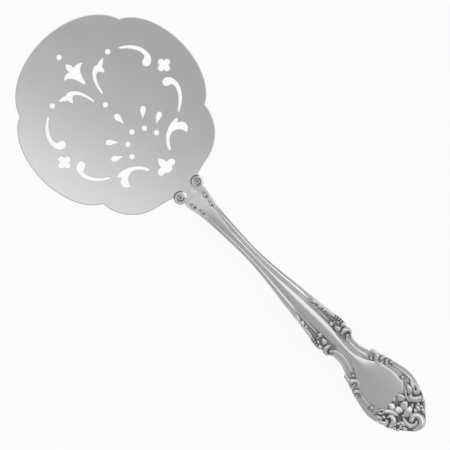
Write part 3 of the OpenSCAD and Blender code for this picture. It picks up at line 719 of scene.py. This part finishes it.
def spiral(centre, r0, r1, a0, a1, count=60):
    t = np.linspace(0, 1, count)
    r, a = r0 + (r1 - r0) * t, np.radians(a0 + (a1 - a0) * t)
    return np.column_stack([centre[0] + r * np.cos(a), centre[1] + r * np.sin(a)])


def curve(*points, count=60):
    """A smooth path through a few points."""
    p = np.array(points, float)
    gap = np.concatenate([[0], np.cumsum(np.linalg.norm(np.diff(p, axis=0), axis=1) ** 0.6)])
    tangent = np.gradient(p, gap, axis=0)
    s = np.linspace(0, gap[-1], count)
    i = np.clip(np.searchsorted(gap, s) - 1, 0, len(gap) - 2)
    h = (gap[i + 1] - gap[i])[:, None]
    t = ((s - gap[i]) / (gap[i + 1] - gap[i]))[:, None]
    return between(p[i], p[i + 1], tangent[i], tangent[i + 1], h, t)


def beside(xs, offset):
    return np.column_stack([xs, half_w(xs) - offset])


def fan(centre, inner, forms, pitch=7):
    """Petals about a centre, from heading, length, width and height."""
    spots = []
    for heading, length, width, height in forms:
        a = math.radians(heading)
        spots.append((centre[0] + inner * math.cos(a), centre[1] + inner * math.sin(a),
                      heading, length, width, height, pitch))
    return spots


def threads(o, xs, stops, rows, rises, **form):
    """Threads along the ledge, each from its place across the ledge, its share of the width and its rise."""
    room = half_w(xs) - field_w(xs)
    along = np.linspace(0, 1, stops)
    for place, part, rise in rows:
        width = np.interp(along, np.linspace(0, 1, len(xs)), room * part)
        width[[0, -1]] *= 0.4
        o.sweep(np.column_stack([xs, field_w(xs) + place * room]), list(zip(along, width)),
                [(at, share * rise) for at, share in rises], **form)


# Centre of the volute on the right
VOLUTE = (39.7, 4.2)


def volute_groove(x, y):
    """How dark a volute is painted at a place, as shade and patina: in its eye, between its turns and inside
    its rim.
    """
    soft, deepest = 0.1, 0.9
    dx, dy = x - VOLUTE[0], abs(y) - VOLUTE[1]
    r, heading = math.hypot(dx, dy), math.degrees(math.atan2(dy, dx)) % 360
    wound = (heading + 60) % 360 / 360
    rim = 0.22 * np.clip((82 - abs(heading - 186)) / 30, 0, 1)
    grooves = ((0.0, 0.5), (1.3 - 0.3 * wound, 0.26 - 0.1 * wound), (2.2, rim))
    return max(np.clip((reach - abs(r - middle)) / soft, 0, deepest) for middle, reach in grooves)


def shoulder_volute(o):
    o.seat = face_z
    dish_slope = math.degrees(math.atan(2 * dish_rise * VOLUTE[0]))
    o.bloom([(VOLUTE[0] - 2.6, VOLUTE[1], 0, 5.2, 5.0, 0.14, dish_slope)], segments=72, rounds=40)
    lead = curve((43.4, 3.5), (42.4, 2.75), (41.0, 2.85), count=10)[:-1]
    o.sweep(np.vstack([lead, spiral(VOLUTE, 1.76, 1.62, -40, 285)]),
            ((0, 0.1), (0.15, 0.36), (0.6, 0.34), (1, 0.14)), ((0, 0.25), (0.15, 0.5), (1, 0.4)))
    o.sweep(spiral(VOLUTE, 0.78, 0.7, -60, 300, 50), ((0, 0.18), (0.2, 0.24), (0.8, 0.24), (1, 0.18)), 0.5)
    o.sweep(spiral(VOLUTE, 2.48, 2.44, 108, 264, 30), ((0, 0.05), (0.3, 0.15), (0.8, 0.15), (1, 0.05)), 0.28)


def neck_husks(o):
    for x, y, size in ((44.0, 3.1, 1.0), (47.9, 2.4, 0.9)):
        o.bloom([(x + 0.3, y - 0.3 * size, 26, 2.3 * size, 0.85 * size, 0.55, 3),
                 (x + 0.3, y + 0.3 * size, -38, 2.3 * size, 0.85 * size, 0.55, 3)], swell=0.2, crease=0.2)
        o.bead(x, y, 0.5 * size, 0.55)
        o.bead(x + 2.5 * size, y - 0.25, 0.36 * size, 0.5)


def shank_thread(o):
    threads(o, np.linspace(51.4, 98.0, 90), 12, ((0.42, 0.34, 0.3), (0.88, 0.11, 0.22)),
            ((0, 0.2), (0.08, 1), (0.96, 1), (1, 0.3)), lean=0.3)


def acanthus(o):
    xs = np.linspace(98.2, 109.4, 34)
    o.sweep(beside(xs, 0.8), ((0, 0.12), (0.2, 0.62), (0.8, 0.72), (1, 0.3)),
            ((0, 0.3), (0.3, 0.75), (1, 0.7)))
    rib = np.linspace(99.2, 109.0, 28)
    o.sweep(np.column_stack([rib, field_w(rib) + 0.72]), ((0, 0.1), (0.2, 0.34), (0.85, 0.4), (1, 0.15)), 0.7)
    o.bloom([(98.5, 3.1, 30, 3.6, 1.2, 0.85, 5), (101.7, 3.4, 44, 3.1, 1.5, 0.95, 6),
             (104.0, 3.5, 58, 2.3, 0.9, 0.9, 6)],
            swell=0.15, crease=0.2)
    o.bloom([(105.5 + 0.62 * k, 3.45, 72, 1.75, 0.36, 0.55, 0) for k in range(7)], segments=10, rounds=7)
    o.bead(97.7, float(field_w(97.7)) + 0.95, 0.5, 0.75)


def shell(o):
    o.sweep(curve((108.3, 5.95), (109.5, 6.45), (111.2, 6.65), (112.9, 6.6), (114.0, 6.1), count=40),
            ((0, 0.15), (0.3, 0.34), (0.8, 0.34), (1, 0.15)), ((0, 0.4), (0.3, 0.75), (0.8, 0.8), (1, 0.5)))
    o.bloom([(108.7, 5.0, 96, 1.25, 0.75, 0.75, 5), (109.7, 5.2, 88, 1.25, 0.8, 0.8, 5),
             (110.7, 5.4, 82, 1.2, 0.8, 0.85, 5), (111.7, 5.5, 76, 1.15, 0.8, 0.85, 5)],
            swell=0.2, crease=0.3)
    o.bloom([(112.4, 5.0, 46, 2.3, 1.7, 1.05, 6), (109.1, 3.2, -16, 1.9, 1.7, 0.95, 6),
             (111.3, 3.0, 14, 2.8, 1.8, 1.1, 6), (110.6, 4.9, 10, 1.6, 1.0, 0.85, 4)],
            swell=0.25, crease=0.3)
    o.bead(110.3, 4.2, 0.55, 0.9)


def knuckle_scroll(o):
    o.sweep(curve((115.7, 2.6), (115.1, 3.6), (115.0, 4.7), (115.5, 5.6), (116.5, 6.0), (117.5, 5.7),
                  (117.8, 5.0)),
            ((0, 0.3), (0.2, 0.85), (0.45, 1.05), (0.7, 0.72), (1, 0.36)),
            ((0, 0.6), (0.2, 1.05), (0.8, 1.1), (1, 0.8)),
            hollow=0.16, place=0.4)
    o.bead(117.1, 4.2, 0.6, 1.0)
    o.sweep(curve((117.2, 3.9), (118.0, 3.2), (119.2, 2.75), (120.6, 2.6), count=30),
            ((0, 0.3), (0.3, 0.6), (0.7, 0.7), (1, 0.3)), ((0, 0.8), (0.3, 0.75), (1, 0.4)))
    o.sweep(curve((118.1, 5.3), (118.5, 4.8), (119.4, 4.5), (121.0, 4.45), count=24),
            ((0, 0.15), (0.4, 0.36), (1, 0.15)), ((0, 0.4), (0.4, 0.6), (1, 0.3)))


def waist_thread(o):
    threads(o, np.linspace(118.6, 128.1, 40), 10, ((0.33, 0.25, 0.55), (0.88, 0.11, 0.4)),
            ((0, 0.3), (0.2, 1), (0.9, 1), (1, 0.4)), hollow=0.15)


def shoulder_leaf(o):
    o.bloom([(128.1, 5.8, 126, 1.9, 1.35, 0.95, 8), (128.4, 6.1, 95, 1.6, 1.25, 0.9, 8),
             (128.8, 5.9, 70, 2.1, 1.2, 0.85, 4)],
            swell=0.2, crease=0.3)
    o.bead(129.1, 4.5, 0.6, 0.85)
    o.sweep(curve((130.4, 8.0), (130.0, 6.9), (130.4, 5.8), (131.5, 5.0), (132.6, 5.2), (133.1, 6.1),
                  (133.0, 6.9)),
            ((0, 0.35), (0.25, 1.0), (0.45, 0.78), (0.75, 0.66), (1, 0.25)),
            ((0, 0.6), (0.25, 1.0), (0.7, 0.85), (1, 0.4)))
    o.sweep(curve((131.8, 6.5), (131.9, 7.3), (132.5, 8.3), (133.4, 9.0), count=24),
            ((0, 0.4), (0.4, 0.5), (1, 0.15)), 0.7)


def border_scroll(o):
    o.sweep(curve((133.8, 9.0), (133.6, 8.2), (134.1, 7.5), (135.0, 7.0), (135.8, 7.3), (136.1, 8.0),
                  count=50),
            ((0, 0.25), (0.3, 0.72), (0.6, 0.6), (1, 0.18)), ((0, 0.5), (0.3, 0.95), (1, 0.4)))
    o.sweep(curve((135.2, 8.2), (135.5, 9.0), (136.4, 9.6), (138.0, 10.0), count=24),
            ((0, 0.38), (0.4, 0.44), (1, 0.12)), 0.65)
    o.sweep(beside(np.linspace(134.6, 148.6, 60), 1.0),
            ((0, 0.2), (0.2, 0.75), (0.6, 0.98), (0.9, 0.9), (1, 0.6)),
            ((0, 0.4), (0.2, 0.75), (0.9, 0.8), (1, 0.8)), lean=0.6, edge=1.9)


def field_thread(o):
    xs = np.linspace(136.4, 141.7, 30)
    o.sweep(np.column_stack([xs, field_w(xs) + 0.95]), ((0, 0.08), (0.2, 0.32), (1, 0.34)),
            ((0, 0.3), (0.2, 0.6), (1, 0.6)))
    o.bead(142.2, 7.75, 0.74, 1.3)
    o.sweep(curve((143.2, 8.6), (144.5, 7.2), (145.5, 5.8), (146.2, 4.6), count=40),
            ((0, 0.1), (0.3, 0.4), (0.8, 0.4), (1, 0.1)),
            ((0, 0.4), (0.3, 0.7), (1, 0.4)))


def right_crest_scroll(o):
    o.sweep(curve((147.0, 9.5), (148.5, 9.25), (149.6, 8.55), (149.8, 7.65), (149.1, 7.2), (148.4, 7.55)),
            ((0, 0.3), (0.3, 0.85), (0.6, 0.92), (1, 0.6)), ((0, 0.6), (0.3, 1.0), (1, 1.0)), hollow=0.12,
            place=0.4)
    o.bead(148.4, 7.6, 0.52, 1.0)
    o.sweep(curve((148.9, 5.8), (149.3, 4.95), (150.4, 4.9), (151.4, 5.7), (151.9, 6.9), (151.9, 8.1)),
            ((0, 0.6), (0.25, 1.05), (0.5, 1.25), (0.8, 1.1), (1, 0.5)),
            ((0, 0.9), (0.3, 1.15), (0.8, 1.05), (1, 0.5)),
            hollow=0.12, place=-0.3)
    o.bead(148.95, 5.75, 0.58, 1.0)
    o.sweep(curve((145.7, 6.0), (146.8, 4.95), (148.0, 4.0), (149.5, 3.55), (151.0, 3.7), count=40),
            ((0, 0.2), (0.3, 0.58), (0.7, 0.55), (1, 0.15)), ((0, 0.5), (0.3, 0.9), (1, 0.5)))
    o.bloom([(144.8, 7.4, -18, 4.0, 2.0, 1.1, 5), (144.9, 9.0, -20, 3.7, 1.25, 0.95, 4),
             (146.5, 5.7, 4, 2.4, 1.3, 0.9, 4)],
            swell=0.2, crease=0.25)


def left_crest_scroll(o):
    o.sweep(curve((146.6, 7.0), (146.6, 5.7), (147.4, 4.55), (148.6, 3.75), (150.0, 3.3), (151.4, 3.0)),
            ((0, 0.3), (0.3, 1.0), (0.6, 1.05), (0.85, 0.75), (1, 0.2)),
            ((0, 0.5), (0.3, 1.0), (0.8, 0.95), (1, 0.5)),
            hollow=0.12, place=-0.3)
    o.sweep(curve((148.8, 6.2), (149.3, 5.25), (150.4, 5.05), (151.4, 5.65), (151.9, 6.8), (151.7, 8.2)),
            ((0, 0.5), (0.25, 0.95), (0.5, 1.15), (0.8, 0.98), (1, 0.4)),
            ((0, 0.9), (0.25, 1.1), (0.85, 1.0), (1, 0.5)),
            hollow=0.12, place=-0.3)
    o.bead(148.8, 6.25, 0.5, 1.0)
    o.sweep(curve((146.8, 9.6), (148.3, 9.25), (149.5, 8.6), (150.0, 7.9), (149.7, 7.4), count=50),
            ((0, 0.3), (0.4, 0.95), (0.8, 0.98), (1, 0.8)), ((0, 0.6), (0.4, 1.0), (1, 1.05)))
    o.bead(149.5, 7.45, 0.82, 1.05)
    o.bloom([(144.9, 8.8, -12, 3.3, 1.25, 0.9, 4), (144.7, 7.7, -24, 2.3, 1.1, 0.85, 4),
             (146.7, 7.3, -8, 2.1, 1.2, 0.9, 4)],
            swell=0.15, crease=0.25)


def side_blossom(o):
    c = (153.8, 6.1)
    o.bloom(fan(c, 0.4, [(a, 1.5, 1.55, 0.9) for a in (28, 100, 172, 244, 316)]), swell=0.35, crease=0.25)
    o.bead(c[0], c[1], 0.3, 0.7)
    o.bloom([(152.7, 4.2, -8, 3.0, 1.6, 1.0, 5), (154.9, 5.2, -24, 2.6, 1.3, 0.95, 5)], swell=0.1, crease=0.3)


def crest_blossom(o):
    c = (147.7, -0.1)
    o.seat = lambda p: ledge(p[:, 0]) + 0.25
    o.bloom(fan(c, 0.95, [(106, 2.8, 3.4, 1.1), (31, 2.95, 3.3, 1.15), (-36, 2.9, 3.4, 1.15),
                          (-104, 2.6, 3.3, 1.1), (178, 1.7, 1.7, 0.85)]), swell=0.3, crease=0.14, cup=0.32,
            segments=26, rounds=16)
    o.bloom(fan(c, 0.5, [(a, 0.6, 0.5, 0.75) for a in (20, 92, 236, 308)]), segments=10, rounds=7)
    o.bead(c[0], c[1], 0.32, 0.7)
    for x, y in ((146.9, 1.0), (146.4, 0.35), (146.3, -0.5), (146.8, -1.1)):
        o.bead(x, y, 0.27, 0.62)
    o.bloom([(145.9, 1.6, 150, 1.4, 0.8, 0.75, 4), (146.0, -2.2, 205, 1.5, 0.8, 0.75, 4),
             (146.3, 3.2, 158, 1.4, 0.7, 0.7, 4)],
            crease=0.25)


def crest_leaf(o):
    o.bloom([(152.0, 3.3, -79, 5.2, 3.1, 1.25, 2), (151.4, 3.8, -40, 1.9, 1.1, 0.9, 4),
             (151.6, -2.2, 30, 1.6, 1.0, 0.8, 4), (153.2, 3.1, -24, 2.5, 1.35, 0.95, 4)],
            swell=0.18, crease=0.24, segments=20, rounds=14)


def crest_curl(o):
    o.sweep(curve((158.4, -2.75), (159.35, -1.4), (159.5, 0.1), (158.75, 1.5), (157.45, 2.2),
                  (156.15, 2.05), (155.25, 1.25), (155.15, 0.3), (155.6, -0.5), count=110),
            ((0, 0.35), (0.15, 0.95), (0.35, 1.15), (0.6, 1.3), (0.85, 1.22), (1, 1.1)),
            ((0, 0.5), (0.12, 0.95), (0.6, 1.1), (1, 1.2)), hollow=0.1, place=-0.4)
    o.bead(155.65, -0.6, 1.14, 1.25)
    o.sweep(curve((152.6, -2.0), (154.2, -2.7), (156.1, -2.75), (157.3, -2.0), (157.7, -0.95),
                  (157.5, 0.05)),
            ((0, 0.2), (0.25, 0.88), (0.6, 0.95), (1, 0.66)), ((0, 0.5), (0.25, 0.95), (1, 0.95)))
    o.bead(157.45, 0.15, 0.66, 0.95)


pairs = (shoulder_volute, neck_husks, shank_thread, acanthus, shell, knuckle_scroll, waist_thread,
         shoulder_leaf, border_scroll, field_thread, side_blossom)
makers = {make.__name__ + "_" + side: make for make in pairs for side in ("left", "right")}
makers.update({"crest_scroll_right": right_crest_scroll, "crest_scroll_left": left_crest_scroll,
               "crest_blossom": crest_blossom, "crest_leaf": crest_leaf, "crest_curl": crest_curl})

meshes = {"blade": blade_mesh(), "handle": handle_mesh()}
for name, make in makers.items():
    ornament = Ornament(name + "_relief", mirror=name.endswith("left"))
    make(ornament)
    meshes[name] = ornament.joined()


# Recesses: how much of the sky over a point is shut off by metal close to it, painted in to the colour as
# shade and as patina in the hollows

# Start and end of a stretch of the handle, and how dark its ledge is kept, as painted shade and patina
# between the ornaments
GROUND = ((53.0, 97.4, 0.24), (98.2, 104.6, 0.38), (104.6, 109.6, 0.54), (109.6, 118.0, 0.6),
          (127.4, 136.6, 0.44), (145.6, 161.5, 0.7))
# Start and end of a stretch of the handle, and what its shade is multiplied by
EASED = ((30.0, 43.6, 0.0), (43.6, 53.0, 1.5), (53.0, 97.5, 0.35), (97.5, 109.6, 0.8), (118.8, 127.0, 0.45),
         (136.6, 141.2, 0.6))


def eased(x):
    """How far the shade of a place is weakened, as where it is rubbed bright, or deepened."""
    return next((share for start, end, share in EASED if start <= x < end), 1.0)


def ground_tone(x, y):
    """How dark the handle's ledge is painted under the ornament, by place, as shade and patina."""
    margin, soft = 0.05, 0.8
    if x < FIELD_END[-1][0] and abs(y) < plate_w(x) + margin:
        return 0.0
    return max(depth * np.clip((x - start) / soft + 0.5, 0, 1) * np.clip((end - x) / soft + 0.5, 0, 1)
               for start, end, depth in GROUND)


def evened(mesh, values, rounds):
    """Values evened out between neighbouring points."""
    ends = np.array([edge.vertices[:] for edge in mesh.edges])
    count = np.maximum(np.bincount(ends.ravel(), minlength=len(values)), 1)
    for _ in range(rounds):
        total = (np.bincount(ends[:, 0], values[ends[:, 1]], len(values))
                 + np.bincount(ends[:, 1], values[ends[:, 0]], len(values)))
        values = (values + total / count) / 2
    return values


def ray_fan():
    """Directions in three rings round a normal, each as two shares across it and one along it."""
    rays = []
    for ring, height in ((4, 0.85), (6, 0.5), (5, 0.2)):
        flat = math.sqrt(1 - height * height)
        for k in range(ring):
            a = 2 * math.pi * (k + 0.37 * ring) / ring
            rays.append((math.cos(a) * flat, math.sin(a) * flat, height))
    return rays


def mark_recesses(reach=1.8, clear=0.00004):
    """Stores on every mesh how deep in a recess its points lie, which paints shade and patina in to the
    colour; the blade is open and stays bright.
    """
    metal = BVHTree.FromPolygons(*gathered(meshes.values()))
    rays = ray_fan()
    total = sum(ray[2] for ray in rays)
    for name, mesh in meshes.items():
        volute = name.startswith("shoulder_volute")
        shut = np.zeros(len(mesh.vertices), np.float32)
        for vertex in mesh.vertices:
            up = vertex.normal
            if up.z < 0.0 or name == "blade":
                continue
            x, y = vertex.co.x / MM, vertex.co.y / MM
            if volute:
                # The volute's grooves get painted shade and patina by place, not by rays.
                shut[vertex.index] = volute_groove(x, y)
                continue
            side = up.orthogonal().normalized()
            other = up.cross(side)
            start = vertex.co + up * clear
            hits = 0.0
            # The share of these rays that meet metal is painted in as shade and patina.
            for a, b, c in rays:
                if metal.ray_cast(start, side * a + other * b + up * c, reach * MM)[0] is not None:
                    hits += c
            shut[vertex.index] = hits / total
            shut[vertex.index] *= eased(x)
            # The ledge gets at least its painted shade and patina by place.
            if name == "handle":
                shut[vertex.index] = max(shut[vertex.index], ground_tone(x, y))
        layer = mesh.attributes.new("recess", "FLOAT", "POINT")
        rounds = 1 if volute else 3
        layer.data.foreach_set("value", evened(mesh, shut, rounds).astype(np.float32))


mark_recesses()

for name, mesh in meshes.items():
    plain = name in ("blade", "handle")
    piece_of(name + "_satin" if plain else mesh.name, mesh, name)


# Floor, light and camera

def seen_rays(t):
    """Whether a ray shows the backdrop itself, straight or mirrored in the metal."""
    path = t.add("ShaderNodeLightPath").outputs
    mirrored = t.math("MAXIMUM", path["Is Glossy Ray"], path["Is Transmission Ray"])
    return t.math("MAXIMUM", path["Is Camera Ray"], mirrored)


def floor_material():
    material, t = empty_material("pale floor")
    paint = t.add("ShaderNodeBsdfDiffuse", {"Color": (0.9, 0.9, 0.9, 1)})
    glow = t.add("ShaderNodeEmission", {"Color": (1, 1, 1, 1), "Strength": 1.0})
    share = t.math("MULTIPLY", seen_rays(t), 0.88)
    mix = t.add("ShaderNodeMixShader", {0: share, 1: paint.outputs[0], 2: glow.outputs[0]})
    t.add("ShaderNodeOutputMaterial", {"Surface": mix.outputs[0]})
    return material


floor_half, floor_z = 3, -0.0002
corners = [(x * floor_half, y * floor_half, floor_z) for x, y in ((-1, -1), (1, -1), (1, 1), (-1, 1))]
floor = bpy.data.objects.new("floor", mesh_of("floor", corners, [(0, 1, 2, 3)], floor_material()))
scene.collection.objects.link(floor)


def studio_world():
    """White round the horizon and soft grey overhead, as under a tent with the camera in its roof."""
    world = bpy.data.worlds.new("studio")
    scene.world = world
    world.use_nodes = True
    world.node_tree.nodes.clear()
    t = Tree(world.node_tree)
    ray = t.add("ShaderNodeTexCoord").outputs["Generated"]
    height = t.add("ShaderNodeSeparateXYZ", {0: ray}).outputs["Z"]
    ramp = t.add("ShaderNodeValToRGB", {0: height})
    stops = ramp.color_ramp.elements
    stops[0].position, stops[0].color = 0.04, (1, 1, 1, 1)
    stops[1].position, stops[1].color = 0.7, (0.43, 0.43, 0.435, 1)
    stops.new(0.12).color = (0.34, 0.34, 0.345, 1)
    tent = t.add("ShaderNodeBackground", {"Color": ramp.outputs[0], "Strength": 1.0})
    fill = t.add("ShaderNodeBackground", {"Color": (0.76, 0.76, 0.76, 1), "Strength": 1.0})
    mix = t.add("ShaderNodeMixShader", {0: seen_rays(t), 1: fill.outputs[0], 2: tent.outputs[0]})
    t.add("ShaderNodeOutputWorld", {"Surface": mix.outputs[0]})


studio_world()


def soft_lamp(name, place, turn, size, power):
    """A level softbox over the table."""
    data = bpy.data.lights.new(name, "AREA")
    data.shape, data.size, data.size_y, data.energy = "RECTANGLE", size[0], size[1], power
    lamp = bpy.data.objects.new(name, data)
    lamp.matrix_world = Matrix.Translation(place) @ Matrix.Rotation(math.radians(turn), 4, "Z")
    scene.collection.objects.link(lamp)


soft_lamp("key softbox", place=(0.82, 1.395, 2.30), turn=18.0, size=(4.63, 1.64), power=16.8)

view_angle = math.radians(45.6)
mm_per_pixel = 0.3623
picture_pixels = 450
camera_place = (0.05803, 0.00045, 1.6)
lens = bpy.data.cameras.new("camera")
lens.sensor_width = 36
lens.lens = lens.sensor_width * camera_place[2] / (picture_pixels * mm_per_pixel * MM)
lens.clip_start, lens.clip_end = 0.05, 20
camera = bpy.data.objects.new("camera", lens)
camera.matrix_world = Matrix.Translation(camera_place) @ Matrix.Rotation(view_angle, 4, "Z")
scene.collection.objects.link(camera)
scene.camera = camera
scene.view_settings.view_transform = "Standard"
